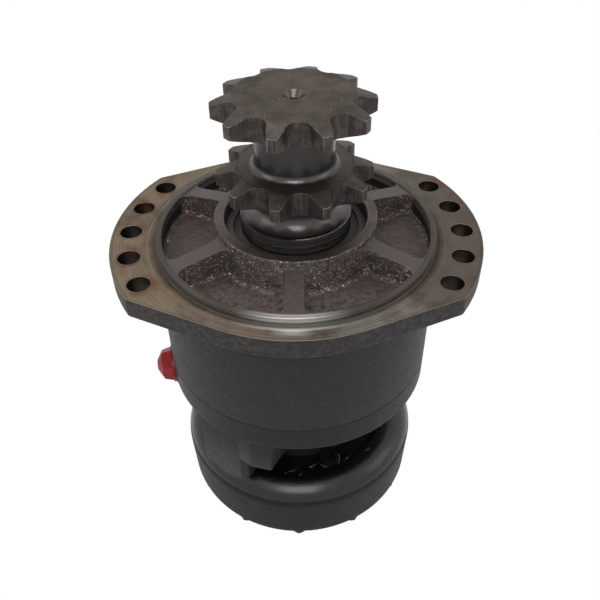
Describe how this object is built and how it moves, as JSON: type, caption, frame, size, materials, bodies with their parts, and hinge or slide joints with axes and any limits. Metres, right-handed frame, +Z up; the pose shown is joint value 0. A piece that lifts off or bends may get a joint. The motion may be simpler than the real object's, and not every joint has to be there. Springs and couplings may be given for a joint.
{
  "type": "final drive motor",
  "caption": "Chain-drive radial piston motor: double sprocket shaft, ribbed front housing with two bolting ears, port housing with side port block, and a drum-shaped holding brake.",
  "frame": {"origin": "centre of the machined flange face, on the shaft axis", "axes": "+Z up along the shaft towards the sprockets, +X through the middle hole of one bolting ear"},
  "size_m": [0.289, 0.248, 0.3811],
  "materials": {
    "front_casting": "cast and partly painted, machined on its faces",
    "forged_shaft": "turned and milled steel, slightly dulled",
    "seal_steel": "pressed sheet",
    "seal_rubber": "matte",
    "bearing_steel": "ground",
    "cage_steel": "pressed",
    "turned_steel": "turned",
    "block_iron": "machined",
    "ground_steel": "ground",
    "ring_plastic": "satin",
    "hardened_steel": "hardened and ground",
    "painted_casting": "satin dark grey paint over cast iron",
    "dark_fastener": "black oxide",
    "spring_steel": "spring temper",
    "red_plastic": "moulded",
    "gloss_casting": "gloss black paint over cast iron",
    "disc_steel": "ground flat",
    "friction_bronze": "sintered lining",
    "painted_cover": "satin dark paint",
    "painted_fastener": "painted over with the cover"
  },
  "bodies": {
    "motor_body": {"front_housing": "front_casting", "seal_case": "seal_steel", "shaft_seal": "seal_rubber", "outer_bearing_cup": "bearing_steel", "inner_bearing_cup": "bearing_steel", "cam_ring": "hardened_steel", "cam_ring_pins": "ground_steel", "rear_housing": "painted_casting", "housing_screws": "dark_fastener", "distributor": "block_iron", "distributor_rings": "ring_plastic", "distributor_spring": "spring_steel", "drain_plug": "red_plastic", "brake_housing": "gloss_casting", "brake_screws": "dark_fastener", "brake_seal": "seal_rubber", "brake_port_plug": "dark_fastener", "steel_discs": "disc_steel", "brake_spring": "spring_steel", "brake_cover": "painted_cover", "cover_bolts": "painted_fastener", "cover_seal": "seal_rubber"},
    "drive_shaft": {"sprocket_shaft": "forged_shaft", "outer_bearing_cone": "bearing_steel", "inner_bearing_cone": "bearing_steel", "bearing_nut": "turned_steel", "lock_washer": "turned_steel", "cylinder_block": "block_iron", "pistons": "ground_steel", "piston_rings": "ring_plastic", "cam_rollers": "ground_steel", "brake_shaft": "turned_steel", "brake_hub": "turned_steel", "hub_snap_rings": "spring_steel", "friction_discs": "friction_bronze"},
    "outer_bearing_set": {"outer_bearing_rollers": "bearing_steel", "outer_bearing_cage": "cage_steel"},
    "inner_bearing_set": {"inner_bearing_rollers": "bearing_steel", "inner_bearing_cage": "cage_steel"},
    "brake_piston": {"brake_piston": "block_iron", "brake_piston_seals": "seal_rubber"}
  },
  "joints": [
    {"name": "drive_shaft_turn", "type": "hinge", "parent": "motor_body", "child": "drive_shaft", "pos_m": [0, 0, 0], "axis": [0, 0, 1], "continuous": true},
    {"name": "outer_rollers_orbit", "type": "hinge", "parent": "motor_body", "child": "outer_bearing_set", "pos_m": [0, 0, -0.0236], "axis": [0, 0, 1], "continuous": true},
    {"name": "inner_rollers_orbit", "type": "hinge", "parent": "motor_body", "child": "inner_bearing_set", "pos_m": [0, 0, -0.0484], "axis": [0, 0, 1], "continuous": true},
    {"name": "brake_release", "type": "slide", "parent": "motor_body", "child": "brake_piston", "axis": [0, 0, -1], "range_m": [0, 0.0015], "deforming": ["brake_spring"]}
  ],
  "couplings": [
    {"joint": "outer_rollers_orbit", "follows": "drive_shaft_turn", "ratio": 0.46001},
    {"joint": "inner_rollers_orbit", "follows": "drive_shaft_turn", "ratio": 0.46001}
  ]
}
